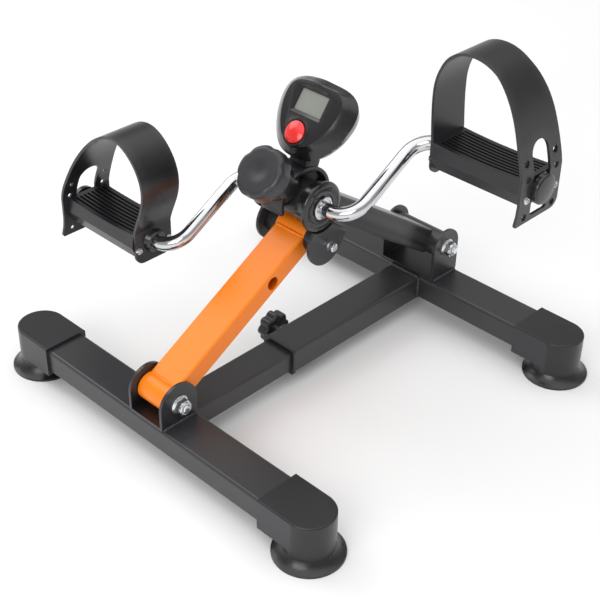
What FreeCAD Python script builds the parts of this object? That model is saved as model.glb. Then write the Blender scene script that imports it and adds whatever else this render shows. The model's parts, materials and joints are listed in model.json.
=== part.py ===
import FreeCAD, Part
import math
import os

os.makedirs("parts", exist_ok=True)

# Pedal exerciser. Millimetres, +Z up. The origin is on the floor, midway between the four feet.
# +X runs along the two crossbars, +Y from the front base (arm side) to the rear base (strut side).

# Driving dimensions
FOOT_SPAN = 351.2            # foot centre to foot centre along a crossbar
BAR_SPACING = 338.5          # front crossbar centre to rear crossbar centre
BAR_WIDTH = 40.0
BAR_HEIGHT = 24.0
BAR_TOP = 42.4               # height of the crossbars' top face
TUBE_WALL = 1.5
ARM_LENGTH = 189.0           # front pivot to lock pin
FRONT_PIVOT_HEIGHT = 62.0
REAR_PIVOT_HEIGHT = 76.0
REAR_PIVOT_SETBACK = 1.2     # rear pivot behind its crossbar's centre
PIN_ALONG = 190.0            # rear pivot to lock pin, along the strut
PIN_BELOW = 33.0             # lock pin below the strut's pivot line
HUB_ALONG = 215.1            # rear pivot to crank axis, along the strut
HUB_BELOW = 4.4              # crank axis below the strut's pivot line
CRANK_THROW = 100.0
CRANK_ANGLE = 30.0           # right crank above +Y
CRANK_OFFSET = 65.0          # crank arms' distance from the middle plane
ROD_RADIUS = 6.5
BOLT_RADIUS = 4.0            # M8 pivots
PIN_RADIUS = 4.0

# Sizes worked out from the driving dimensions
FOOT_X = FOOT_SPAN / 2
BAR_Y = BAR_SPACING / 2
BAR_BOTTOM = BAR_TOP - BAR_HEIGHT
CAP_RADIUS = 22.55
CAP_BOTTOM = 9.4
FRONT_PIVOT = FreeCAD.Vector(0, -BAR_Y, FRONT_PIVOT_HEIGHT)
REAR_PIVOT = FreeCAD.Vector(0, BAR_Y + REAR_PIVOT_SETBACK, REAR_PIVOT_HEIGHT)

# The arm, the strut's pin line and the base make a triangle, which sets both slopes.
SPAN_Y = REAR_PIVOT.y - FRONT_PIVOT.y
SPAN_Z = REAR_PIVOT.z - FRONT_PIVOT.z
SPAN = math.hypot(SPAN_Y, SPAN_Z)
PIN_REACH = math.hypot(PIN_ALONG, PIN_BELOW)
ARM_ANGLE = math.degrees(
    math.atan2(SPAN_Z, SPAN_Y)
    + math.acos((ARM_LENGTH**2 + SPAN**2 - PIN_REACH**2) / (2 * ARM_LENGTH * SPAN))
)
PIN_Y = FRONT_PIVOT.y + ARM_LENGTH * math.cos(math.radians(ARM_ANGLE))
PIN_Z = FRONT_PIVOT.z + ARM_LENGTH * math.sin(math.radians(ARM_ANGLE))
STRUT_ANGLE = math.degrees(
    math.atan2(PIN_Z - REAR_PIVOT.z, REAR_PIVOT.y - PIN_Y) + math.atan2(PIN_BELOW, PIN_ALONG)
)

X_AXIS = FreeCAD.Vector(1, 0, 0)
Y_AXIS = FreeCAD.Vector(0, 1, 0)
Z_AXIS = FreeCAD.Vector(0, 0, 1)
SIDES = {"left": -1, "right": 1}
ENDS = {"front": -1, "rear": 1}


def vec(x, y, z):
    return FreeCAD.Vector(x, y, z)


def tilted(origin, degrees):
    """A frame at origin, turned about +X."""
    return FreeCAD.Placement(origin, FreeCAD.Rotation(X_AXIS, degrees))


ARM_FRAME = tilted(FRONT_PIVOT, ARM_ANGLE)       # y runs up the arm
STRUT_FRAME = tilted(REAR_PIVOT, -STRUT_ANGLE)   # y runs down the strut, so the hub is at -y
HUB = STRUT_FRAME.multVec(vec(0, -HUB_ALONG, -HUB_BELOW))
CRANK_FRAME = tilted(HUB, CRANK_ANGLE)


def placed(shape, frame):
    result = shape.copy()
    result.Placement = frame.multiply(result.Placement)
    return result


def save(node, *shapes):
    """Writes one node, as one solid or as a group of separate solids."""
    shape = shapes[0] if len(shapes) == 1 else Part.makeCompound(list(shapes))
    shape.exportStep(f"parts/{node}.step")
    print(f"{node}: {len(shape.Solids)} solid(s), {shape.Volume:.0f} mm3, valid {shape.isValid()}")


def fused(*shapes):
    result = shapes[0]
    for shape in shapes[1:]:
        result = result.fuse(shape)
    return result.removeSplitter()


def box(x0, x1, y0, y1, z0, z1):
    return Part.makeBox(x1 - x0, y1 - y0, z1 - z0, vec(x0, y0, z0))


def rod(radius, x0, x1, y=0, z=0):
    """A round bar along X."""
    return Part.makeCylinder(radius, x1 - x0, vec(x0, y, z), X_AXIS)


def post(radius, z0, z1, x=0, y=0):
    """A round bar along Z."""
    return Part.makeCylinder(radius, z1 - z0, vec(x, y, z0), Z_AXIS)


def pipe(outer, inner, x0, x1, y=0, z=0):
    return rod(outer, x0, x1, y, z).cut(rod(inner, x0 - 1, x1 + 1, y, z))


def prism(points, direction):
    return Part.Face(Part.makePolygon(points + [points[0]])).extrude(direction)


def turned(profile, base, axis):
    """A solid of revolution of a closed outline of points."""
    return Part.Face(Part.makePolygon(profile + [profile[0]])).revolve(base, axis, 360)


def turned_x(profile, y=0, z=0):
    """Turns (x, radius) points about an axis along X."""
    return turned([vec(x, y + r, z) for x, r in profile], vec(0, y, z), X_AXIS)


def turned_z(profile, x=0, y=0):
    """Turns (radius, z) points about an axis along Z."""
    return turned([vec(x + r, y, z) for r, z in profile], vec(x, y, 0), Z_AXIS)


def rounded_bar(x0, x1, y0, y1, z0, z1, radius, along):
    """A box with its four long edges rounded."""
    body = box(x0, x1, y0, y1, z0, z1)
    edges = [
        e for e in body.Edges
        if abs(abs(e.tangentAt(e.FirstParameter).dot(along)) - 1) < 1e-6
    ]
    return body.makeFillet(radius, edges)


def box_tube(x0, x1, y0, y1, z0, z1, along, radius=3.0):
    """A hollow rectangular tube, open at both ends."""
    wall = TUBE_WALL
    outer = rounded_bar(x0, x1, y0, y1, z0, z1, radius, along)
    dx, dy, dz = [0 if along[i] else wall for i in range(3)]
    ex, ey, ez = [1 if along[i] else 0 for i in range(3)]
    inner = rounded_bar(
        x0 + dx - ex, x1 - dx + ex, y0 + dy - ey, y1 - dy + ey, z0 + dz - ez, z1 - dz + ez,
        radius - wall, along,
    )
    return outer.cut(inner)


def u_bracket(gap, plate, width, height, hole):
    """A folded plate on z = 0: a web and two round-topped ears, with a cross hole at height."""
    outer = gap / 2 + plate
    radius = width / 2
    body = rounded_bar(-outer, outer, -radius, radius, 0, height, 2.5, Y_AXIS)
    body = body.cut(box(-outer, outer, -radius, radius, height / 2, height + 1))
    tall = box(-outer, outer, -radius, radius, height / 2, height)
    body = fused(body, tall, rod(radius, -outer, outer, 0, height))
    body = body.cut(box(-gap / 2, gap / 2, -radius - 1, radius + 1, plate, height + radius + 1))
    body = body.cut(box(-outer - 1, outer + 1, -radius - 1, radius + 1, -radius, 0))
    return body.cut(rod(hole, -outer - 1, outer + 1, 0, height))


def hexagon(across_flats, x0, x1, y=0, z=0):
    corner = across_flats / math.sqrt(3)
    points = [
        vec(x0, y + corner * math.cos(math.radians(a)), z + corner * math.sin(math.radians(a)))
        for a in range(0, 360, 60)
    ]
    return prism(points, vec(x1 - x0, 0, 0))


def dome_height(half, crown, at):
    """Height over its rim, at a distance from the middle, of a spherical dome."""
    sphere = (half**2 + crown**2) / (2 * crown)
    return crown - sphere + math.sqrt(sphere**2 - at**2)


KNOB_EDGE = 3.2


def lobed_knob(radius, lobes, flute, depth, thickness, crown):
    """A hand knob on z = 0, with a rounded edge, a crowned face and flutes between its lobes."""
    edge = KNOB_EDGE
    shoulder = radius - edge
    near = 0.3 * edge            # the rounded edge's middle, short of the sharp corner
    top = thickness
    profile = Part.Wire([
        Part.makeLine(vec(0, 0, 0), vec(shoulder, 0, 0)),
        Part.Arc(vec(shoulder, 0, 0), vec(radius - near, 0, near), vec(radius, 0, edge)).toShape(),
        Part.makeLine(vec(radius, 0, edge), vec(radius, 0, top - edge)),
        Part.Arc(
            vec(radius, 0, top - edge), vec(radius - near, 0, top - near), vec(shoulder, 0, top)
        ).toShape(),
        Part.Arc(
            vec(shoulder, 0, top),
            vec(shoulder / 2, 0, top + dome_height(shoulder, crown, shoulder / 2)),
            vec(0, 0, top + crown),
        ).toShape(),
        Part.makeLine(vec(0, 0, top + crown), vec(0, 0, 0)),
    ])
    knob = Part.Face(profile).revolve(vec(0, 0, 0), Z_AXIS, 360)
    for i in range(lobes):
        a = 2 * math.pi * (i + 0.5) / lobes
        reach = radius + flute - depth
        knob = knob.cut(post(flute, -1, top + crown + 1, reach * math.cos(a), reach * math.sin(a)))
    return knob


# ---------------------------------------------------------------- bases

STEM_RADIUS = 6.0            # the foot's stem in its cap
CAP_END_WALL = 3.6


def crossbar(y):
    end = FOOT_X - CAP_END_WALL
    return box_tube(-end, end, y - BAR_WIDTH / 2, y + BAR_WIDTH / 2, BAR_BOTTOM, BAR_TOP, X_AXIS)


def end_cap(side, y):
    """A D-shaped cap over the crossbar's end, with a round boss down to the foot."""
    wall = 3.0
    reach = 36.7
    top = BAR_TOP + wall
    bottom = BAR_BOTTOM - wall
    edge = 1.4
    body = box(FOOT_X - reach, FOOT_X, -CAP_RADIUS, CAP_RADIUS, bottom, top)
    body = fused(body, post(CAP_RADIUS, bottom, top, FOOT_X))
    rim = [
        e for e in body.Edges
        if e.BoundBox.ZMin > top - 0.01 and e.BoundBox.XMax > FOOT_X - reach + 1
    ]
    body = body.makeFillet(edge, rim)
    body = fused(body, post(CAP_RADIUS, CAP_BOTTOM, bottom + 1, FOOT_X))
    clear = 0.05
    pocket = rounded_bar(
        FOOT_X - reach - 1, FOOT_X - CAP_END_WALL + 0.1, -BAR_WIDTH / 2 - clear, BAR_WIDTH / 2 + clear,
        BAR_BOTTOM - clear, BAR_TOP + clear, 3.0, X_AXIS,
    )
    body = body.cut(pocket).cut(post(STEM_RADIUS, CAP_BOTTOM - 1, BAR_BOTTOM - 1, FOOT_X))
    if side < 0:
        body = body.mirror(vec(0, 0, 0), X_AXIS)
    body.translate(vec(0, y, 0))
    return body


def suction_foot(x, y):
    """A flared rubber foot: a flat sealing ring, a hollow underneath and a stem into the cap."""
    rim = 30.9
    ring = rim - 3.4             # inner radius of the sealing ring
    rim_height = 2.0
    hollow = 4.6
    stem_top = BAR_BOTTOM - 1.2
    outline = Part.Wire([
        Part.makeLine(vec(ring, 0, 0), vec(rim, 0, 0)),
        Part.makeLine(vec(rim, 0, 0), vec(rim, 0, rim_height)),
        Part.Arc(
            vec(rim, 0, rim_height), vec(rim - 4.6, 0, rim_height + 2.9), vec(CAP_RADIUS, 0, CAP_BOTTOM)
        ).toShape(),
        Part.makeLine(vec(CAP_RADIUS, 0, CAP_BOTTOM), vec(STEM_RADIUS, 0, CAP_BOTTOM)),
        Part.makeLine(vec(STEM_RADIUS, 0, CAP_BOTTOM), vec(STEM_RADIUS, 0, stem_top)),
        Part.makeLine(vec(STEM_RADIUS, 0, stem_top), vec(0, 0, stem_top)),
        Part.makeLine(vec(0, 0, stem_top), vec(0, 0, hollow)),
        Part.Arc(vec(0, 0, hollow), vec(ring * 0.56, 0, hollow - 0.9), vec(ring, 0, 0)).toShape(),
    ])
    foot = Part.Face(outline).revolve(vec(0, 0, 0), Z_AXIS, 360)
    foot.translate(vec(x, y, 0))
    return foot


SLEEVE_WIDTH = 37.2
SLEEVE_TOP = 41.7
SLEEVE_BOTTOM = 16.7
SLEEVE_MOUTH = -29.7
BEAM_WIDTH = 33.4
BEAM_TOP = 38.5
BEAM_BOTTOM = 18.5
BEAM_END = 60.0
COLLAR_LIP = 3.0
LOCK_Y = -1.0
LOCK_Z = (SLEEVE_TOP + SLEEVE_BOTTOM) / 2
LOCK_KNOB_BACK = 29.8
BOSS_LENGTH = 5.4
STUD_END = 38.0


def beam_sleeve():
    """The rear base's hollow beam, which the inner beam slides into."""
    half = SLEEVE_WIDTH / 2
    sleeve = box_tube(
        -half, half, SLEEVE_MOUTH + COLLAR_LIP, BAR_Y - BAR_WIDTH / 2, SLEEVE_BOTTOM, SLEEVE_TOP, Y_AXIS,
        2.5,
    )
    return sleeve.cut(rod(4.4, -half - 1, -half + 3, LOCK_Y, LOCK_Z))


def sleeve_collar():
    """A plastic guide at the sleeve's mouth: a lip outside and a tongue above the inner beam."""
    half = SLEEVE_WIDTH / 2
    lip = rounded_bar(
        -half - 1.2, half + 1.2, SLEEVE_MOUTH, SLEEVE_MOUTH + COLLAR_LIP,
        SLEEVE_BOTTOM - 1.2, SLEEVE_TOP + 1.2, 3.2, Y_AXIS,
    )
    gap = 0.3
    window = rounded_bar(
        -BEAM_WIDTH / 2 - gap, BEAM_WIDTH / 2 + gap, SLEEVE_MOUTH - 1, SLEEVE_MOUTH + COLLAR_LIP + 1,
        BEAM_BOTTOM - gap, BEAM_TOP + gap, 2.3, Y_AXIS,
    )
    start = SLEEVE_MOUTH + COLLAR_LIP
    tongue = box(-14, 14, start - 0.5, start + 22, BEAM_TOP + gap + 0.1, SLEEVE_TOP - TUBE_WALL)
    return fused(lip.cut(window), tongue)


def inner_beam():
    half = BEAM_WIDTH / 2
    start = -BAR_Y + BAR_WIDTH / 2
    return box_tube(-half, half, start, BEAM_END, BEAM_BOTTOM, BEAM_TOP, Y_AXIS, 2.3)


def beam_plug():
    """The plastic plug in the inner beam's hidden end."""
    half = BEAM_WIDTH / 2
    core = box(
        -half + TUBE_WALL + 0.5, half - TUBE_WALL - 0.5, BEAM_END - 15, BEAM_END,
        BEAM_BOTTOM + TUBE_WALL + 0.5, BEAM_TOP - TUBE_WALL - 0.5,
    )
    flange = box(-half, half, BEAM_END, BEAM_END + 2.5, BEAM_BOTTOM + 0.2, BEAM_TOP - 0.2)
    return fused(core, flange)


EAR_PLATE = 3.0
FRONT_EAR_GAP = 37.0
FRONT_EAR_WIDTH = 40.0
REAR_EAR_GAP = 62.0
REAR_EAR_WIDTH = 37.6
EAR_HOLE = BOLT_RADIUS + 0.1

PIVOTS = {
    "front": {"at": FRONT_PIVOT, "gap": FRONT_EAR_GAP, "width": FRONT_EAR_WIDTH},
    "rear": {"at": REAR_PIVOT, "gap": REAR_EAR_GAP, "width": REAR_EAR_WIDTH},
}


def pivot_bracket(end):
    pivot = PIVOTS[end]
    bracket = u_bracket(
        pivot["gap"], EAR_PLATE, pivot["width"], pivot["at"].z - BAR_TOP, EAR_HOLE
    )
    bracket.translate(vec(0, pivot["at"].y, BAR_TOP))
    return bracket


def pivot_bolt(end):
    """A hex bolt with its head on the left, its shank through both ears and its tip past the nut."""
    pivot = PIVOTS[end]
    face = pivot["gap"] / 2 + EAR_PLATE
    y = pivot["at"].y
    z = pivot["at"].z
    head = hexagon(13.0, -face - 1.6 - 5.3, -face - 1.6, y, z)
    tip = turned_x(
        [
            (-face - 2, 0), (-face - 2, BOLT_RADIUS), (face + 10.4, BOLT_RADIUS),
            (face + 11.4, BOLT_RADIUS - 1), (face + 11.4, 0),
        ],
        y, z,
    )
    return fused(head, tip)


def pivot_washer(end):
    """A flat washer under the bolt's head."""
    pivot = PIVOTS[end]
    face = pivot["gap"] / 2 + EAR_PLATE
    return pipe(8.0, BOLT_RADIUS + 0.1, -face - 1.6, -face, pivot["at"].y, pivot["at"].z)


def pivot_nut(end):
    """A flanged lock nut on the right."""
    pivot = PIVOTS[end]
    face = pivot["gap"] / 2 + EAR_PLATE
    y = pivot["at"].y
    z = pivot["at"].z
    flange = turned_x(
        [(face, 0), (face, 8.9), (face + 1.2, 8.9), (face + 2.6, 7.0), (face + 2.6, 0)], y, z
    )
    collar = turned_x(
        [(face + 7, 0), (face + 7, 6.2), (face + 8.6, 6.2), (face + 9.3, 5.5), (face + 9.3, 0)], y, z
    )
    body = fused(flange, hexagon(13.0, face + 2, face + 7.4, y, z), collar)
    return body.cut(rod(BOLT_RADIUS, face - 1, face + 20, y, z))


def weld_boss():
    """The threaded boss on the sleeve's left side, for the base lock knob."""
    face = SLEEVE_WIDTH / 2
    return pipe(8.0, BOLT_RADIUS + 0.05, -face - BOSS_LENGTH, -face, LOCK_Y, LOCK_Z)


def base_lock_knob():
    knob = fused(lobed_knob(16.0, 8, 5.0, 2.2, 12.5, 1.0), post(8.5, -5.5, 1.0))
    back = vec(-LOCK_KNOB_BACK, LOCK_Y, LOCK_Z)
    knob = placed(knob, FreeCAD.Placement(back, FreeCAD.Rotation(Z_AXIS, -X_AXIS)))
    return knob.cut(rod(BOLT_RADIUS, -STUD_END, 0, LOCK_Y, LOCK_Z))


def base_lock_stud():
    return rod(BOLT_RADIUS, -STUD_END, -BEAM_WIDTH / 2 - 0.3, LOCK_Y, LOCK_Z)


# ---------------------------------------------------------------- arm

BARREL_RADIUS = 13.0
BARREL_BORE = 10.6
BARREL_LENGTH = 35.0
FLANGE_RADIUS = 12.4         # the pivot bushings' flanges
ARM_WIDTH = 35.0
ARM_TOP = 10.7
ARM_BOTTOM = -8.3
ARM_HOLE_ALONG = 133.0
ARM_HOLE_RADIUS = 6.2
FORK_GAP = 60.4
FORK_PLATE = 3.0
SIDE_PLAY = 0.3
PIN_PLAY = 1.9               # the arm's upper bushings clear the lock pin by this much


def arm_tube():
    tube = box_tube(-ARM_WIDTH / 2, ARM_WIDTH / 2, 0, ARM_LENGTH, ARM_BOTTOM, ARM_TOP, Y_AXIS, 2.2)
    for y in (0, ARM_LENGTH):
        tube = tube.cut(rod(BARREL_RADIUS, -ARM_WIDTH, ARM_WIDTH, y))
    kept = max(tube.Solids, key=lambda solid: solid.Volume)
    hole = rod(ARM_HOLE_RADIUS, -ARM_WIDTH, ARM_WIDTH, ARM_HOLE_ALONG, (ARM_TOP + ARM_BOTTOM) / 2)
    return placed(kept.cut(hole), ARM_FRAME)


def arm_barrel(along):
    half = BARREL_LENGTH / 2
    return placed(pipe(BARREL_RADIUS, BARREL_BORE, -half, half, along), ARM_FRAME)


def flanged_bushing(side, barrel_half, flange_end, flange_radius, bore, along):
    """A bushing pressed into a barrel's end, with a flange out to flange_end."""
    depth = 12.0
    edge = 0.8
    profile = [
        (barrel_half - depth, bore), (barrel_half - depth, BARREL_BORE), (barrel_half, BARREL_BORE),
        (barrel_half, flange_radius), (flange_end - edge, flange_radius),
        (flange_end, flange_radius - edge), (flange_end, bore),
    ]
    return turned_x([(side * x, r) for x, r in profile], along)


def arm_bushings(along, flange_end, flange_radius, bore):
    half = BARREL_LENGTH / 2
    return [
        placed(flanged_bushing(side, half, flange_end, flange_radius, bore, along), ARM_FRAME)
        for side in SIDES.values()
    ]


# ---------------------------------------------------------------- strut, fork and hub

STRUT_WIDTH = 35.0
STRUT_TOP = 10.0
STRUT_BOTTOM = -15.0
STRUT_BARREL_LENGTH = 58.0
SHELL_RADIUS = 18.0
SHELL_BORE = 15.6
SHELL_HALF = 30.0
HUB_CAP_RADIUS = 23.4
HUB_CAP_FACE = 33.0
SKIRT_START = 19.0           # the hub caps' skirts over the shell
SKIRT_RADIUS = 21.2
CAP_CLEAR = 0.8              # cut in the fork round the hub caps
BEARING_START = 20.0
BEARING_END = 29.0
DRUM_RADIUS = 9.5
BEARING_BORE = 8.25


def strut_tube():
    start = -BARREL_RADIUS / 2
    tube = box_tube(
        -STRUT_WIDTH / 2, STRUT_WIDTH / 2, -HUB_ALONG, start, STRUT_BOTTOM, STRUT_TOP, Y_AXIS, 2.5
    )
    tube = tube.cut(rod(BARREL_RADIUS, -STRUT_WIDTH, STRUT_WIDTH))
    tube = tube.cut(rod(SHELL_RADIUS, -STRUT_WIDTH, STRUT_WIDTH, -HUB_ALONG, -HUB_BELOW))
    kept = max(tube.Solids, key=lambda solid: solid.Volume)
    return placed(kept, STRUT_FRAME)


def strut_barrel():
    half = STRUT_BARREL_LENGTH / 2
    return placed(pipe(BARREL_RADIUS, BARREL_BORE, -half, half), STRUT_FRAME)


def strut_bushings():
    half = STRUT_BARREL_LENGTH / 2
    end = REAR_EAR_GAP / 2 - SIDE_PLAY
    return [
        placed(flanged_bushing(side, half, end, FLANGE_RADIUS, BOLT_RADIUS + 0.05, 0), STRUT_FRAME)
        for side in SIDES.values()
    ]


def fork_bracket():
    """The folded plate under the strut's upper end, whose ears take the lock pin."""
    width = 42.0
    web = 2.5
    drop = PIN_BELOW + STRUT_BOTTOM
    fork = u_bracket(FORK_GAP, FORK_PLATE, width, drop, PIN_RADIUS + 0.05)
    reach = FORK_GAP / 2 + FORK_PLATE + 1
    fork = fork.cut(box(-FORK_GAP / 2, FORK_GAP / 2, -width, width, web, FORK_PLATE + 0.01))
    flip = FreeCAD.Placement(vec(0, -PIN_ALONG, STRUT_BOTTOM), FreeCAD.Rotation(Y_AXIS, 180))
    fork = placed(fork, flip)
    fork = fork.cut(rod(SHELL_RADIUS, -reach, reach, -HUB_ALONG, -HUB_BELOW))
    for side in SIDES.values():
        for start, radius in ((SKIRT_START, SKIRT_RADIUS), (SHELL_HALF - 3, HUB_CAP_RADIUS)):
            ends = sorted((side * start, side * reach))
            fork = fork.cut(rod(radius + CAP_CLEAR, *ends, -HUB_ALONG, -HUB_BELOW))
    return placed(fork, STRUT_FRAME)


KNOB_AXIS_ANGLE = 42.0       # tension knob's axis above -Y
KNOB_FRAME = tilted(HUB, 90 - KNOB_AXIS_ANGLE)
KNOB_START = 43.1
KNOB_THICKNESS = 16.5
KNOB_RADIUS = 24.0
SCREW_INSET = 12.0           # the screw's length inside the knob
SCREW_RADIUS = 3.9
PAD_RADIUS = 7.0
PAD_END = 24.0


def hub_frame_shape(shape):
    result = shape.copy()
    result.translate(HUB)
    return result


def hub_shell():
    shell = hub_frame_shape(pipe(SHELL_RADIUS, SHELL_BORE, -SHELL_HALF, SHELL_HALF))
    return shell.cut(placed(post(PAD_RADIUS + 0.05, 5, 25), KNOB_FRAME))


def hub_bearings():
    """One bearing ring pressed into each end of the shell."""
    return [
        hub_frame_shape(pipe(SHELL_BORE, BEARING_BORE, *sorted((side * BEARING_START, side * BEARING_END))))
        for side in SIDES.values()
    ]


def hub_cap(side):
    """A plastic end cap: a skirt over the shell and a face with a turned recess."""
    face = HUB_CAP_FACE
    profile = [
        (SKIRT_START, SHELL_RADIUS), (SKIRT_START, SKIRT_RADIUS - 0.6), (27.0, SKIRT_RADIUS),
        (27.6, 22.0), (28.3, 22.8), (29.1, 23.25), (30.0, HUB_CAP_RADIUS), (30.9, 23.3), (31.7, 22.9),
        (32.3, 22.2), (32.75, 21.2), (face, 20.0),
        (face, 19.0), (face - 0.7, 18.3), (face - 0.9, 15.8), (face - 0.1, 15.2), (face - 0.1, 12.8),
        (face - 1.0, 12.2), (face - 1.0, 11.2), (SHELL_HALF, 11.2), (SHELL_HALF, SHELL_RADIUS),
    ]
    return hub_frame_shape(turned_x([(side * x, r) for x, r in profile]))


def brake_housing():
    """One moulding round the hub: a hooded shell, a stem for the tension screw and the console's neck."""
    end_angle = 190

    def sector(outer, inner, half, start_angle):
        ring = Part.Face(Part.Wire([
            Part.makeLine(vec(-half, inner, 0), vec(half, inner, 0)),
            Part.makeLine(vec(half, inner, 0), vec(half, outer, 0)),
            Part.makeLine(vec(half, outer, 0), vec(-half, outer, 0)),
            Part.makeLine(vec(-half, outer, 0), vec(-half, inner, 0)),
        ])).revolve(vec(0, 0, 0), X_AXIS, end_angle - start_angle)
        ring.rotate(vec(0, 0, 0), X_AXIS, start_angle)
        return ring

    saddle = sector(28.0, SHELL_RADIUS + 0.02, 4.0, 22)
    hood = sector(30.0, 26.8, 12.5, 4)
    neck = prism(
        [vec(-11, 0.5, 25), vec(-11, 16.5, 21), vec(-11, 27, 50), vec(-11, 21, 62), vec(-11, 5, 48)],
        vec(22, 0, 0),
    )
    flanks = [
        e for e in neck.Edges
        if abs(e.tangentAt(e.FirstParameter).x) < 0.01 and e.BoundBox.ZMax > 40 and e.Length > 20
    ]
    neck = neck.makeFillet(3.0, flanks)
    stem = turned_z([(0, 20), (15.5, 20), (15.5, 30), (14.0, 42.8), (0, 42.8)])
    stem = placed(stem, tilted(vec(0, 0, 0), 90 - KNOB_AXIS_ANGLE))
    body = hub_frame_shape(fused(saddle, hood, neck, stem))
    body = body.cut(hub_frame_shape(rod(SHELL_RADIUS + 0.02, -20, 20)))
    body = body.cut(placed(post(SCREW_RADIUS + 0.3, 10, 60), KNOB_FRAME))
    body = body.cut(placed(post(PAD_RADIUS + 0.05, 5, 27), KNOB_FRAME))
    return body.cut(console_envelope())


def brake_pad():
    """The friction pad that the tension screw pushes against the drum."""
    pad = placed(post(PAD_RADIUS, 0, PAD_END), KNOB_FRAME)
    return pad.cut(hub_frame_shape(rod(DRUM_RADIUS + 0.05, -20, 20)))


# ---------------------------------------------------------------- console

CONSOLE_LEAN = 37.4          # the face's normal above -Y
CONSOLE_CENTRE = HUB + vec(0, 18.2, 80.5)
CONSOLE_FRAME = tilted(CONSOLE_CENTRE, 90 - CONSOLE_LEAN)
# Each outline lists its top, its right half going down, and its bottom.
FACE_OUTLINE = [
    (0, 17.2), (18, 16.4), (25.5, 13.6), (29.6, 9), (30.8, 2), (29.4, -9), (25.8, -19), (20.5, -28),
    (12.5, -35.5), (0, -38),
]
RIM_OUTLINE = [
    (0, 18.6), (19.5, 17.8), (28.5, 15.2), (33.2, 10), (34.8, 2.5), (33.8, -9), (30.4, -19.5), (25.6, -28.5),
    (17.5, -37), (0, -41),
]
BACK_OUTLINE = [
    (0, 23.6), (19.5, 22.4), (32, 18.6), (39, 12.5), (41.8, 4.5), (41.2, -8), (37.6, -20), (31.6, -31),
    (21, -42.4), (0, -47.2),
]
RIM_DEPTH = 3.2
FRONT_DEPTH = 10.0
BACK_DEPTH = 21.0
BACK_TAPER = 5.0
SHELL_WALL = 2.0
FACE_WALL = 2.6
BUTTON_X = -2.8
BUTTON_Y = -27.6
BUTTON_RADIUS = 9.9
BUTTON_GAP = 0.35
BUTTON_DOME = 2.4
LCD_X = -2.1
LCD_Y = 0.3
LCD_HALF_X = 15.5
LCD_HALF_Y = 9.8
LCD_THICKNESS = 1.4
BOARD_TOP = -10.6


def shield(outline, z, inset=0.0):
    """The console's rounded shield outline at height z, drawn in by inset."""
    top = outline[0][1]
    bottom = outline[-1][1]
    middle = (top + bottom) / 2
    grow_x = 1 - inset / max(x for x, _ in outline)
    grow_y = 1 - inset / ((top - bottom) / 2)
    right = [(x * grow_x, middle + (y - middle) * grow_y) for x, y in outline]
    left = [(-x, y) for x, y in reversed(right[1:-1])]
    curve = Part.BSplineCurve()
    curve.interpolate([vec(x, y, z) for x, y in right + left], PeriodicFlag=True)
    return Part.Wire(curve.toShape())


def front_solid():
    """The front half, from its flat face over a bevelled rim to the seam."""
    rim = shield(RIM_OUTLINE, -RIM_DEPTH)
    bevel = Part.makeLoft([shield(FACE_OUTLINE, 0), rim], True)
    flank = Part.makeLoft([rim, shield(BACK_OUTLINE, -FRONT_DEPTH)], True)
    return bevel.fuse(flank)


def back_solid():
    seam = shield(BACK_OUTLINE, -FRONT_DEPTH)
    return Part.makeLoft([seam, shield(BACK_OUTLINE, -BACK_DEPTH, BACK_TAPER)], True)


def console_envelope():
    return placed(front_solid().fuse(back_solid()), CONSOLE_FRAME)


def lcd_window(grow, z0, z1):
    half_x = LCD_HALF_X + grow
    half_y = LCD_HALF_Y + grow
    return rounded_bar(
        LCD_X - half_x, LCD_X + half_x, LCD_Y - half_y, LCD_Y + half_y, z0, z1, 1.2, Z_AXIS
    )


def arched_frame(margin, foot, crown, z):
    """The display frame's outline: a rectangle round the window with an arched top."""
    x = LCD_HALF_X + margin
    y0 = LCD_Y - LCD_HALF_Y - foot
    y1 = LCD_Y + LCD_HALF_Y + margin
    corners = [vec(LCD_X - x, y1, z), vec(LCD_X - x, y0, z), vec(LCD_X + x, y0, z), vec(LCD_X + x, y1, z)]
    sides = [Part.makeLine(a, b) for a, b in zip(corners, corners[1:])]
    arch = Part.Arc(corners[3], vec(LCD_X, y1 + crown, z), corners[0]).toShape()
    return Part.Wire(sides + [arch])


def console_front():
    """The face shell, with a bevelled display frame, a button ring and a hollow behind."""
    hollow = Part.makeLoft([
        shield(FACE_OUTLINE, -FACE_WALL, 2.2),
        shield(BACK_OUTLINE, -FRONT_DEPTH - 0.01, SHELL_WALL),
    ], True)
    bore = BUTTON_RADIUS + BUTTON_GAP
    ring = turned_z(
        [(bore, -4), (13, -4), (13, 0.5), (12.3, 1.3), (bore + 0.8, 1.3), (bore, 0.6)], BUTTON_X, BUTTON_Y
    )
    bevel = Part.makeLoft([arched_frame(1.7, 2.8, 3.0, 0.01), arched_frame(0.3, 0.4, 0.6, -1.5)], True)
    body = fused(front_solid().cut(hollow), ring)
    body = body.cut(bevel).cut(lcd_window(0.0, -5, 0.5))
    body = body.cut(post(bore, -12, 3, BUTTON_X, BUTTON_Y))
    return placed(body, CONSOLE_FRAME)


def console_back():
    hollow = Part.makeLoft([
        shield(BACK_OUTLINE, -FRONT_DEPTH + 0.01, SHELL_WALL),
        shield(BACK_OUTLINE, -BACK_DEPTH + SHELL_WALL, BACK_TAPER + 1.5),
    ], True)
    return placed(back_solid().cut(hollow), CONSOLE_FRAME)


def lcd_panel():
    top = -FACE_WALL - 0.02
    return placed(lcd_window(0.9, top - LCD_THICKNESS, top), CONSOLE_FRAME)


def circuit_board():
    """The board on its pillar behind the display."""
    board = box(-22, 20, -33, 11, BOARD_TOP - 1.6, BOARD_TOP)
    pillar = box(LCD_X - 10, LCD_X + 10, -6, 6, BOARD_TOP, -FACE_WALL - 0.02 - LCD_THICKNESS)
    return placed(fused(board, pillar), CONSOLE_FRAME)


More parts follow.
